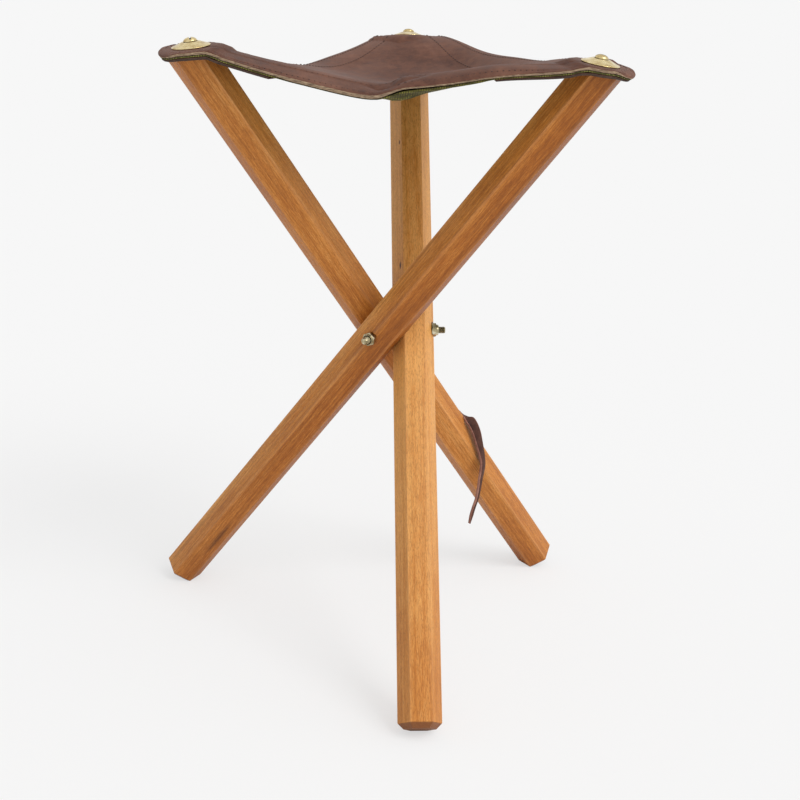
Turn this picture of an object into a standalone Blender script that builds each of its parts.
# Folding artist stool: three hexagonal wooden legs that cross on a three-way bolt, with a sling seat
# of leather over canvas. Metres, +Z up, front of the stool towards -Y.
import math

import bmesh
import bpy
from mathutils import Matrix, Vector

for old in list(bpy.data.objects):
    bpy.data.objects.remove(old, do_unlink=True)

MM = 0.001

# Fits and clearances
REST_GAP = 0.3 * MM  # between a piece and the piece that it rests on
RUNNING_GAP = 0.3 * MM  # radial, between a stud and the leg that turns on it
CROSSING_GAP = 0.5 * MM  # between two legs where they cross, with the stool open

# Legs
LEG_FLATS = 30.0 * MM  # across the flats of the hexagon
HINGE_TO_TOP = 280.5 * MM  # along the leg, bolt to the middle of the sawn top
HINGE_TO_FOOT = 329.0 * MM  # along the leg, bolt to the sawn foot
OPEN_ANGLE = math.radians(37.35)  # lean of each leg when the stool is open
TOP_SLOPE = math.radians(9.0)  # slope of the sawn tops, outwards, when the stool is open
FOOT_CHAMFER = 4.0 * MM  # how far the foot's chamfer goes in from each flat
FOOT_RISE = 4.7 * MM  # how far it goes up the leg
FOOT_WEAR = 0.8 * MM  # height of the worn flat on the lowest edge of each foot

# Three-way bolt and its nuts
STUD_DIAMETER = 6.0 * MM
BOSS_DIAMETER = 7.0 * MM  # weld where the three studs meet
SPOT_DEPTH = 2.0 * MM  # flat for the nut, sawn into the outer ridge of the leg
NUT_FLATS = 10.0 * MM
NUT_HEX_HEIGHT = 4.0 * MM
NUT_COLLAR_DIAMETER = 9.0 * MM
NUT_COLLAR_HEIGHT = 1.8 * MM
STUD_END = 5.6 * MM  # thread that stands out of the nut
SPOT_DIAMETER = NUT_FLATS / math.cos(math.pi / 6) + 1.6 * MM

# Seat layers
LEATHER = 2.5 * MM
CANVAS = 1.0 * MM
PATCH = 2.0 * MM
CORNER_OVERHANG = 12.0 * MM  # of the seat's sides, past the flats of the leg
TIP_OVERHANG = 7.0 * MM  # and of its blunt corners
EDGE_HOLLOW = 2.0 * MM  # how far the sides curve in
FRONT_SAG = 22.7 * MM
LEFT_SAG = 20.7 * MM
RIGHT_SAG = 8.1 * MM
MIDDLE_SAG = 4.0 * MM  # of the middle, below what the three sides give
SPAN_BEND = 1.15  # 1 is a straight fall from each end of a side to its middle, 2 a round one
SPAN_ROUND = 0.09  # share of a side over which its middle is rounded
LANDING_SPARE = 3.0 * MM  # the leather lies flat on the sawn top and this far past it
FALL = 15.0 * MM  # from there to where it hangs free
TIP_DROOP = 3.0 * MM  # of the corners' ends, past the sawn tops
TIP_LENGTH = 10.0 * MM  # over which they droop
PATCH_REACH = 76.0 * MM  # corner patches reach this far from the screw along the sides

# Screws and cup washers
CUP_DIAMETER = 29.0 * MM
CUP_HEIGHT = 4.7 * MM
CUP_WALL = 0.9 * MM
CUP_HOLE = 6.6 * MM
HEAD_DIAMETER = 10.4 * MM
SHANK_DIAMETER = 4.5 * MM
SHANK_HOLE = SHANK_DIAMETER + 2 * RUNNING_GAP
SCREW_IN_WOOD = 22.0 * MM
SLOT_WIDTH = 1.3 * MM
SLOT_DEPTH = 1.2 * MM

# Tie strap on the right leg
STRAP_WIDTH = 10.0 * MM
STRAP_TIP_WIDTH = 3.6 * MM
STRAP_THICK = 2.4 * MM
TACK_HEAD = 7.0 * MM
TACK_SHANK = 1.8 * MM
TACK_LENGTH = 11.0 * MM
TACK_HOLE = TACK_SHANK + 2 * RUNNING_GAP
TACK_DOWN = 123.0 * MM  # below the bolt, along the leg

# Derived sizes
LEG_RADIUS = LEG_FLATS / math.sqrt(3.0)
CONTACT_TURN = math.atan(math.tan(math.pi / 6) / math.cos(OPEN_ANGLE))
CROSSING = 2.0 * LEG_RADIUS * math.cos(math.pi / 3 - CONTACT_TURN) + CROSSING_GAP
HUB_OFFSET = CROSSING * math.sqrt(1.0 + 0.25 * math.tan(OPEN_ANGLE) ** 2) / math.sqrt(3.0)
FOOT_HALF = 0.5 * LEG_FLATS - FOOT_CHAMFER  # half of the sawn foot, inside its chamfer
HUB_HEIGHT = HINGE_TO_FOOT * math.cos(OPEN_ANGLE) + FOOT_HALF * math.sin(OPEN_ANGLE) - FOOT_WEAR
NUT_LAND = HUB_OFFSET + LEG_RADIUS - SPOT_DEPTH
NUT_BASE = NUT_LAND + REST_GAP
STUD_LENGTH = NUT_BASE + NUT_HEX_HEIGHT + NUT_COLLAR_HEIGHT + STUD_END
MITRE = OPEN_ANGLE - TOP_SLOPE
TOP_HALF = 0.5 * LEG_FLATS / math.cos(MITRE)  # half of the sawn top, from the screw outwards
CORNER_RADIUS = 0.5 * LEG_FLATS + CORNER_OVERHANG
TIP_RADIUS = 0.5 * LEG_FLATS + TIP_OVERHANG
LANDING = TOP_HALF + LANDING_SPARE
TOP_HEIGHT = HUB_HEIGHT + HINGE_TO_TOP * math.cos(OPEN_ANGLE)
TOP_REACH = HINGE_TO_TOP * math.sin(OPEN_ANGLE)
PATCH_LOW = REST_GAP
CANVAS_LOW = PATCH_LOW + PATCH + REST_GAP
LEATHER_LOW = CANVAS_LOW + CANVAS + REST_GAP
SEAT_TOP = LEATHER_LOW + LEATHER
CUP_LOW = SEAT_TOP + REST_GAP
THIRD = 2.0 * math.pi / 3.0
TURNS = {"front": 0.0, "left": -THIRD, "right": THIRD}


def material(name, colour, metallic, roughness):
    found = bpy.data.materials.new(name)
    found.use_nodes = True
    shader = found.node_tree.nodes["Principled BSDF"]
    shader.inputs["Base Color"].default_value = colour
    shader.inputs["Metallic"].default_value = metallic
    shader.inputs["Roughness"].default_value = roughness
    return found


WOOD = material("wood", (0.40, 0.19, 0.075, 1.0), 0.0, 0.5)
HIDE = material("leather", (0.18, 0.10, 0.075, 1.0), 0.0, 0.6)
CLOTH = material("canvas", (0.075, 0.09, 0.03, 1.0), 0.0, 0.9)
BRASS = material("brass", (0.78, 0.57, 0.25, 1.0), 1.0, 0.3)
STEEL = material("steel", (0.50, 0.44, 0.28, 1.0), 1.0, 0.35)


def empty(name, parent, place, turn):
    made = bpy.data.objects.new(name, None)
    bpy.context.scene.collection.objects.link(made)
    made.parent = parent
    made.location = place
    made.rotation_euler = turn
    return made


def put(name, mesh, parent, look, place=(0.0, 0.0, 0.0), turn=(0.0, 0.0, 0.0)):
    bmesh.ops.recalc_face_normals(mesh, faces=mesh.faces)
    data = bpy.data.meshes.new(name)
    mesh.to_mesh(data)
    mesh.free()
    made = bpy.data.objects.new(name, data)
    bpy.context.scene.collection.objects.link(made)
    made.parent = parent
    made.location = place
    made.rotation_euler = turn
    if look is not None:
        data.materials.append(look)
    return made


def cutter(name, mesh, parent, place=(0.0, 0.0, 0.0), turn=(0.0, 0.0, 0.0)):
    made = put(name, mesh, parent, None, place, turn)
    made.hide_render = True
    made.display_type = "WIRE"
    return made


def take_away(target, tool, operation="DIFFERENCE"):
    step = target.modifiers.new(tool.name, "BOOLEAN")
    step.operation = operation
    step.solver = "EXACT"
    step.object = tool


def rod(radius, low, high, sides=32):
    mesh = bmesh.new()
    place = Matrix.Translation((0.0, 0.0, 0.5 * (low + high)))
    bmesh.ops.create_cone(
        mesh, cap_ends=True, segments=sides, radius1=radius, radius2=radius, depth=high - low,
        matrix=place,
    )
    return mesh


def turned(profile, sides=40):
    """A closed ring of the profile's points (radius, height), turned about Z."""
    mesh = bmesh.new()
    rings = []
    for radius, height in profile:
        ring = []
        for k in range(sides if radius > 0.0 else 1):
            angle = 2.0 * math.pi * k / sides
            ring.append(mesh.verts.new((radius * math.cos(angle), radius * math.sin(angle), height)))
        rings.append(ring)
    for low, high in zip(rings, rings[1:] + rings[:1]):
        if len(low) == 1 and len(high) == 1:
            continue
        for k in range(sides):
            n = (k + 1) % sides
            corners = [low[k % len(low)], low[n % len(low)], high[n % len(high)], high[k % len(high)]]
            mesh.faces.new(list(dict.fromkeys(corners)))
    return mesh


def trim(mesh, point, normal):
    """Saws off what lies past a plane, and closes the cut."""
    everything = mesh.verts[:] + mesh.edges[:] + mesh.faces[:]
    cut = bmesh.ops.bisect_plane(
        mesh, geom=everything, plane_co=point, plane_no=normal, clear_outer=True
    )
    rim = [e for e in cut["geom_cut"] if isinstance(e, bmesh.types.BMEdge)]
    bmesh.ops.edgeloop_fill(mesh, edges=rim)


# The stool stands on one empty, which moves at the end so that the origin is under its middle
stool = empty("stool", None, (0.0, 0.0, 0.0), (0.0, 0.0, 0.0))
hub = empty("hub", stool, (0.0, 0.0, HUB_HEIGHT), (0.0, 0.0, 0.0))
hinges = {}
tops = {}
for side, turn in TURNS.items():
    hinges[side] = empty("hinge_" + side, hub, (0.0, 0.0, 0.0), (-OPEN_ANGLE, 0.0, turn))
    tops[side] = empty("top_" + side, hinges[side], (HUB_OFFSET, 0.0, HINGE_TO_TOP), (MITRE, 0.0, 0.0))


def leg_body():
    """The plain hexagonal bar in the leg's own frame: X along its stud, Z along the leg."""
    mesh = bmesh.new()
    rings = []
    for half, z in (
        (FOOT_HALF, -HINGE_TO_FOOT),
        (0.5 * LEG_FLATS, FOOT_RISE - HINGE_TO_FOOT),
        (0.5 * LEG_FLATS, HINGE_TO_TOP + LEG_FLATS),
    ):
        corner = half / math.cos(math.pi / 6)
        rings.append([
            mesh.verts.new((HUB_OFFSET + corner * math.cos(a), corner * math.sin(a), z))
            for a in (k * math.pi / 3 for k in range(6))
        ])
    for low, high in zip(rings, rings[1:]):
        for k in range(6):
            mesh.faces.new((low[k - 1], low[k], high[k], high[k - 1]))
    mesh.faces.new(rings[0][::-1])
    mesh.faces.new(rings[-1])
    trim(mesh, (HUB_OFFSET, 0.0, HINGE_TO_TOP), (0.0, -math.sin(MITRE), math.cos(MITRE)))
    floor_normal = Vector((0.0, math.sin(OPEN_ANGLE), -math.cos(OPEN_ANGLE)))
    trim(mesh, floor_normal * HUB_HEIGHT, floor_normal)
    return mesh


for side in TURNS:
    leg = put("leg_" + side, leg_body(), hinges[side], WOOD)
    across = (0.0, 0.5 * math.pi, 0.0)
    bore = cutter(
        "cut_bore_" + side,
        rod(0.5 * STUD_DIAMETER + RUNNING_GAP, 0.0, HUB_OFFSET + 2.0 * LEG_RADIUS),
        hinges[side], turn=across,
    )
    take_away(leg, bore)
    spot = cutter(
        "cut_spot_" + side,
        rod(0.5 * SPOT_DIAMETER, NUT_LAND, NUT_LAND + LEG_RADIUS), hinges[side], turn=across,
    )
    take_away(leg, spot)
    pilot = cutter(
        "cut_pilot_" + side,
        rod(0.5 * SHANK_HOLE, -SCREW_IN_WOOD - REST_GAP, 2.0 * CUP_DIAMETER), tops[side],
    )
    take_away(leg, pilot)

# Three studs welded together at the middle, and a locking nut on each
bolt = put("three_way_bolt", turned([(0.0, -0.5 * BOSS_DIAMETER)] + [
    (0.5 * BOSS_DIAMETER * math.cos(a), 0.5 * BOSS_DIAMETER * math.sin(a))
    for a in (math.radians(d) for d in range(-60, 90, 30))
] + [(0.0, 0.5 * BOSS_DIAMETER)], 24), hub, STEEL)
for side, turn in TURNS.items():
    along = (0.0, 0.5 * math.pi, turn)
    stud = cutter("join_stud_" + side, rod(0.5 * STUD_DIAMETER, 0.0, STUD_LENGTH), hub, turn=along)
    take_away(bolt, stud, "UNION")
    corner = 0.5 * NUT_FLATS / math.cos(math.pi / 6)
    nut = put("nut_" + side, rod(corner, NUT_BASE, NUT_BASE + NUT_HEX_HEIGHT, 6), hub, STEEL, turn=along)
    top = NUT_BASE + NUT_HEX_HEIGHT
    collar = cutter(
        "join_collar_" + side,
        rod(0.5 * NUT_COLLAR_DIAMETER, NUT_BASE + 0.5 * NUT_HEX_HEIGHT, top + NUT_COLLAR_HEIGHT),
        hub, turn=along,
    )
    take_away(nut, collar, "UNION")
    thread = cutter(
        "cut_thread_" + side,
        rod(0.5 * STUD_DIAMETER + REST_GAP, 0.0, STUD_LENGTH + STUD_END), hub, turn=along,
    )
    take_away(nut, thread)

# Brass cup washers and the screws through them, in the frame of each sawn top
CUP_RADIUS = 0.5 * CUP_DIAMETER
CUP_CREST = 0.5 * HEAD_DIAMETER + 0.8 * MM
CONE = (CUP_HEIGHT - 2.0 * MM) / (CUP_CREST - 0.5 * CUP_HOLE)


def cup_ring():
    outer = [
        (CUP_RADIUS, 0.0), (0.99 * CUP_RADIUS, 0.11 * CUP_HEIGHT), (0.83 * CUP_RADIUS, 0.35 * CUP_HEIGHT),
        (0.58 * CUP_RADIUS, 0.72 * CUP_HEIGHT), (CUP_CREST, CUP_HEIGHT),
        (0.5 * CUP_HOLE, CUP_HEIGHT - CONE * (CUP_CREST - 0.5 * CUP_HOLE)),
    ]
    inner = [
        (0.5 * CUP_HOLE, outer[5][1] - CUP_WALL), (CUP_CREST, CUP_HEIGHT - 1.4 * CUP_WALL),
        (0.58 * CUP_RADIUS, 0.72 * CUP_HEIGHT - 1.1 * CUP_WALL),
        (0.83 * CUP_RADIUS, 0.35 * CUP_HEIGHT - 1.1 * CUP_WALL), (0.92 * CUP_RADIUS, 0.0),
    ]
    return turned([(r, h + CUP_LOW) for r, h in outer + inner])


def screw_body():
    """Raised countersunk screw, whose head follows the cone of the cup."""
    rim = 0.5 * HEAD_DIAMETER
    neck = 0.5 * SHANK_DIAMETER
    low = CUP_LOW + CUP_HEIGHT - CONE * (CUP_CREST - rim) + 1.4 * REST_GAP
    crown = 2.0 * MM
    return turned([
        (0.0, -SCREW_IN_WOOD), (neck, -SCREW_IN_WOOD), (neck, low - CONE * (rim - neck)), (rim, low),
        (rim, low + 0.4 * MM), (0.8 * rim, low + 0.4 * MM + 0.36 * crown),
        (0.45 * rim, low + 0.4 * MM + 0.8 * crown), (0.0, low + 0.4 * MM + crown),
    ], 32), low + 0.4 * MM + crown


for side in TURNS:
    put("cup_washer_" + side, cup_ring(), tops[side], BRASS)
    body, crown_height = screw_body()
    screw = put("seat_screw_" + side, body, tops[side], BRASS)
    slot_mesh = bmesh.new()
    bmesh.ops.create_cube(slot_mesh, size=1.0)
    bmesh.ops.scale(slot_mesh, vec=(2.0 * HEAD_DIAMETER, SLOT_WIDTH, 2.0 * SLOT_DEPTH), verts=slot_mesh.verts)
    slot = cutter(
        "cut_slot_" + side, slot_mesh, tops[side], (0.0, 0.0, crown_height), (0.0, 0.0, math.radians(20.0))
    )
    take_away(screw, slot)

# Seat. Its underside follows one surface: flat on each sawn top, and a sling between them
SCREWS = {}
OUTWARD = {}
for side, turn in TURNS.items():
    stud_way = Vector((math.cos(turn), math.sin(turn)))
    lean_way = Vector((-math.sin(turn), math.cos(turn)))
    SCREWS[side] = HUB_OFFSET * stud_way + TOP_REACH * lean_way
    OUTWARD[side] = lean_way


def smooth(low, high, value):
    share = min(max((value - low) / (high - low), 0.0), 1.0)
    return share * share * (3.0 - 2.0 * share)


def shares(point):
    """How near the point is to each screw, as shares that add up to one."""
    a, b, c = SCREWS["front"], SCREWS["left"], SCREWS["right"]
    whole = (b - a).x * (c - a).y - (b - a).y * (c - a).x
    at_b = ((point - a).x * (c - a).y - (point - a).y * (c - a).x) / whole
    at_c = ((b - a).x * (point - a).y - (b - a).y * (point - a).x) / whole
    return 1.0 - at_b - at_c, at_b, at_c


def span(one, two):
    """How much of a side's sag a point has, from its shares of the side's two screws."""
    whole = max(one + two, 1e-6)
    away = 2.0 * two / whole - 1.0
    part = (math.hypot(away, SPAN_ROUND) - SPAN_ROUND) / (1.0 - SPAN_ROUND)
    return (1.0 - min(part, 1.0) ** SPAN_BEND) * whole * whole


def seat_height(x, y):
    point = Vector((x, y))
    a, b, c = shares(point)
    drop = FRONT_SAG * span(c, b) + LEFT_SAG * span(c, a) + RIGHT_SAG * span(b, a)
    drop += 27.0 * MIDDLE_SAG * max(a, 0.0) * max(b, 0.0) * max(c, 0.0)
    height = TOP_HEIGHT + math.tan(TOP_SLOPE) * TOP_HALF - drop
    for side, screw in SCREWS.items():
        out = (point - screw).dot(OUTWARD[side])
        aside = abs((point - screw).cross(OUTWARD[side]))
        free = smooth(LANDING, LANDING + FALL, max(aside - 0.8 * LEG_RADIUS, 0.0) - out)
        droop = TIP_DROOP * smooth(TOP_HALF, TOP_HALF + TIP_LENGTH, out)
        flat = TOP_HEIGHT - math.tan(TOP_SLOPE) * out - droop
        height = flat * (1.0 - free) + height * free
    return height


def seat_point(x, y, lift):
    """The point that lies lift above the seat's surface, square to it."""
    step = 0.5 * MM
    slope_x = (seat_height(x + step, y) - seat_height(x - step, y)) / (2.0 * step)
    slope_y = (seat_height(x, y + step) - seat_height(x, y - step)) / (2.0 * step)
    up = Vector((-slope_x, -slope_y, 1.0)).normalized()
    return Vector((x, y, seat_height(x, y))) + up * lift


ARC_STEPS = 8
PATCH_STEPS = 3  # along a side, from its end to the end of the corner patch
MIDDLE_STEPS = 2  # and from there to the middle of the side
RINGS = (0.22, 0.42, 0.59, 0.70, 0.795, 0.84, 0.885, 0.93, 0.975, 1.0)
PATCH_RING = 3  # ring where the corner patches begin


def side_shares(length):
    """Shares along half a side, one of them where the corner patch ends."""
    end = math.sqrt(PATCH_REACH ** 2 - CORNER_RADIUS ** 2) / length
    near = [end * i / PATCH_STEPS for i in range(1, PATCH_STEPS + 1)]
    return near + [end + (0.5 - end) * i / MIDDLE_STEPS for i in range(1, MIDDLE_STEPS + 1)]


def seat_outline():
    """Points round the seat, with each one's corner and whether a corner patch reaches it."""
    order = ["front", "right", "left"]
    rim = []
    for k, side in enumerate(order):
        other = order[(k + 1) % 3]
        after = SCREWS[other]
        here = SCREWS[side]
        aim = math.atan2(here.y, here.x)
        for i in range(ARC_STEPS + 1):
            angle = aim - math.pi / 3 + THIRD * i / ARC_STEPS
            pointed = 2.0 * math.cos(angle - aim) - 1.0
            radius = CORNER_RADIUS + (TIP_RADIUS - CORNER_RADIUS) * pointed
            rim.append((here + radius * Vector((math.cos(angle), math.sin(angle))), side, True))
        out = Vector((math.cos(aim + math.pi / 3), math.sin(aim + math.pi / 3)))
        near = side_shares((after - here).length)
        places = [(share, side, i < PATCH_STEPS) for i, share in enumerate(near)]
        places += [(1.0 - share, other, patched) for share, _, patched in reversed(places[:-1])]
        for share, corner, patched in places:
            aside = CORNER_RADIUS - EDGE_HOLLOW * 4.0 * share * (1.0 - share)
            rim.append((here.lerp(after, share) + out * aside, corner, patched))
    return rim


RIM = seat_outline()


def layer(low, high):
    """A closed sheet over the whole seat, between two lifts from its surface."""
    mesh = bmesh.new()
    faces = []
    for lift in (low, high):
        middle = mesh.verts.new(seat_point(0.0, 0.0, lift))
        rings = []
        for share in RINGS:
            rings.append([mesh.verts.new(seat_point(p.x * share, p.y * share, lift)) for p, _, _ in RIM])
        faces.append((middle, rings))
    count = len(RIM)
    for middle, rings in faces:
        for k in range(count):
            n = (k + 1) % count
            mesh.faces.new((middle, rings[0][k], rings[0][n]))
            for inner, outer in zip(rings, rings[1:]):
                mesh.faces.new((inner[k], outer[k], outer[n], inner[n]))
    edge_low = faces[0][1][-1]
    edge_high = faces[1][1][-1]
    for k in range(count):
        n = (k + 1) % count
        mesh.faces.new((edge_low[k], edge_low[n], edge_high[n], edge_high[k]))
    return mesh


def corner_layer(side, low, high, first_ring):
    """A closed sheet under one corner, on the same grid as the whole seat."""
    count = len(RIM)
    mine = [k for k in range(count) if RIM[k][1] == side and RIM[k][2]]
    start = next(k for k in mine if (k - 1) % count not in mine)
    rays = [(start + i) % count for i in range(len(mine))]
    mesh = bmesh.new()
    grids = []
    for lift in (low, high):
        grid = []
        for share in RINGS[first_ring:]:
            row = [mesh.verts.new(seat_point(RIM[k][0].x * share, RIM[k][0].y * share, lift)) for k in rays]
            grid.append(row)
        grids.append(grid)
    for grid in grids:
        for inner, outer in zip(grid, grid[1:]):
            for i in range(len(rays) - 1):
                mesh.faces.new((inner[i], outer[i], outer[i + 1], inner[i + 1]))
    below, above = grids
    for i in range(len(rays) - 1):
        for row in (0, -1):
            mesh.faces.new((below[row][i], below[row][i + 1], above[row][i + 1], above[row][i]))
    for r in range(len(below) - 1):
        for i in (0, -1):
            mesh.faces.new((below[r][i], below[r + 1][i], above[r + 1][i], above[r][i]))
    return mesh


def pierce(sheet, side):
    take_away(sheet, bpy.data.objects["cut_pilot_" + side])


leather = put("seat_leather", layer(LEATHER_LOW, SEAT_TOP), stool, HIDE)
canvas = put("seat_canvas", layer(CANVAS_LOW, CANVAS_LOW + CANVAS), stool, CLOTH)
for side in TURNS:
    patch_mesh = corner_layer(side, PATCH_LOW, PATCH_LOW + PATCH, PATCH_RING)
    patch = put("corner_patch_" + side, patch_mesh, stool, HIDE)
    for sheet in (leather, canvas, patch):
        pierce(sheet, side)

# Tie strap, tacked to the upper face of the right leg. It bends over the ridge and hangs down.
# Its line is in the leg's frame from the leg's axis: along the stud, across the leg, along the leg
FACE = -0.5 * LEG_FLATS
LIE = FACE - 0.5 * STRAP_THICK - REST_GAP
STRAP_LINE = [
    Vector((8.0 * MM, LIE, -TACK_DOWN + 9.0 * MM)),
    Vector((2.0 * MM, LIE, -TACK_DOWN)),
    Vector((-4.5 * MM, LIE - 0.3 * MM, -TACK_DOWN - 6.5 * MM)),
    Vector((-10.0 * MM, LIE - 0.1 * MM, -TACK_DOWN - 11.5 * MM)),
    Vector((-12.7 * MM, LIE + 0.9 * MM, -TACK_DOWN - 18.2 * MM)),
    Vector((-14.5 * MM, LIE + 2.0 * MM, -TACK_DOWN - 27.4 * MM)),
    Vector((-17.1 * MM, LIE + 6.1 * MM, -TACK_DOWN - 37.1 * MM)),
    Vector((-19.6 * MM, LIE + 11.0 * MM, -TACK_DOWN - 46.2 * MM)),
    Vector((-21.8 * MM, LIE + 15.7 * MM, -TACK_DOWN - 52.9 * MM)),
    Vector((-23.6 * MM, LIE + 21.4 * MM, -TACK_DOWN - 57.2 * MM)),
    Vector((-23.7 * MM, LIE + 27.1 * MM, -TACK_DOWN - 62.6 * MM)),
    Vector((-23.3 * MM, LIE + 34.2 * MM, -TACK_DOWN - 70.5 * MM)),
    Vector((-22.7 * MM, LIE + 40.3 * MM, -TACK_DOWN - 76.6 * MM)),
    Vector((-21.5 * MM, LIE + 46.3 * MM, -TACK_DOWN - 81.8 * MM)),
    Vector((-20.4 * MM, LIE + 52.6 * MM, -TACK_DOWN - 87.5 * MM)),
    Vector((-19.5 * MM, LIE + 58.8 * MM, -TACK_DOWN - 93.5 * MM)),
]
STRAP_FLAT = Vector((0.0, -1.0, 0.0))  # way that its flat faces at the tack
STRAP_BEND = Vector((-0.62, -0.76, -0.20))  # where it bends over the ridge
STRAP_HANG = Vector((-0.57, -0.65, -0.50))  # and where it hangs, edge on to the front
STRAP_STEPS = 3


def curve_through(points, steps):
    """A smooth line through the points, with steps between each two."""
    line = []
    for i in range(len(points) - 1):
        p0 = points[max(i - 1, 0)]
        p1 = points[i]
        p2 = points[i + 1]
        p3 = points[min(i + 2, len(points) - 1)]
        for k in range(steps):
            t = k / steps
            bend = (2.0 * p0 - 5.0 * p1 + 4.0 * p2 - p3) * t * t + (3.0 * p1 - p0 - 3.0 * p2 + p3) * t ** 3
            line.append(0.5 * (2.0 * p1 + (p2 - p0) * t + bend))
    line.append(points[-1].copy())
    return line


def ribbon(points):
    mesh = bmesh.new()
    line = curve_through(points, STRAP_STEPS)
    last = len(line) - 1
    rings = []
    for i, spot in enumerate(line):
        share = i / last
        way = (line[min(i + 1, last)] - line[max(i - 1, 0)]).normalized()
        face = STRAP_FLAT.lerp(STRAP_BEND, smooth(0.08, 0.24, share))
        face = face.lerp(STRAP_HANG, smooth(0.28, 0.60, share))
        across = way.cross(face).normalized()
        thick = across.cross(way).normalized()
        wide = STRAP_WIDTH + (STRAP_TIP_WIDTH - STRAP_WIDTH) * smooth(0.25, 0.95, share)
        deep = STRAP_THICK
        ring = []
        for a, b in ((-0.5, -0.5), (0.5, -0.5), (0.5, 0.5), (-0.5, 0.5)):
            ring.append(mesh.verts.new(spot + across * a * wide + thick * b * deep))
        rings.append(ring)
    for low, high in zip(rings, rings[1:]):
        for k in range(4):
            n = (k + 1) % 4
            mesh.faces.new((low[k], low[n], high[n], high[k]))
    mesh.faces.new(rings[0])
    mesh.faces.new(rings[-1])
    return mesh


strap_base = empty("strap_base", hinges["right"], (HUB_OFFSET, 0.0, 0.0), (0.0, 0.0, 0.0))
tack_base = empty(
    "tack_base", strap_base, (STRAP_LINE[1].x, FACE, STRAP_LINE[1].z), (0.5 * math.pi, 0.0, 0.0)
)
strap = put("tie_strap", ribbon(STRAP_LINE), strap_base, HIDE)
tack_low = STRAP_THICK + 2.0 * REST_GAP
tack = put("strap_tack", turned([
    (0.0, -TACK_LENGTH), (0.5 * TACK_SHANK, -TACK_LENGTH), (0.5 * TACK_SHANK, tack_low),
    (0.5 * TACK_HEAD, tack_low), (0.44 * TACK_HEAD, tack_low + 0.7 * MM),
    (0.26 * TACK_HEAD, tack_low + 1.4 * MM), (0.0, tack_low + 1.7 * MM),
], 24), tack_base, BRASS)
nail_hole = cutter(
    "cut_nail", rod(0.5 * TACK_HOLE, -TACK_LENGTH - REST_GAP, TACK_HEAD), tack_base
)
take_away(strap, nail_hole)
take_away(bpy.data.objects["leg_right"], nail_hole)

# Origin on the floor, under the middle of the stool's box
bpy.context.view_layer.update()
shapes = bpy.context.evaluated_depsgraph_get()
corners = []
for made in bpy.data.objects:
    if made.type == "MESH" and not made.hide_render and made is not strap:
        solid = made.evaluated_get(shapes)
        corners += [solid.matrix_world @ v.co for v in solid.data.vertices]
for axis in (0, 1):
    low = min(c[axis] for c in corners)
    high = max(c[axis] for c in corners)
    stool.location[axis] = -0.5 * (low + high)
bpy.context.view_layer.update()
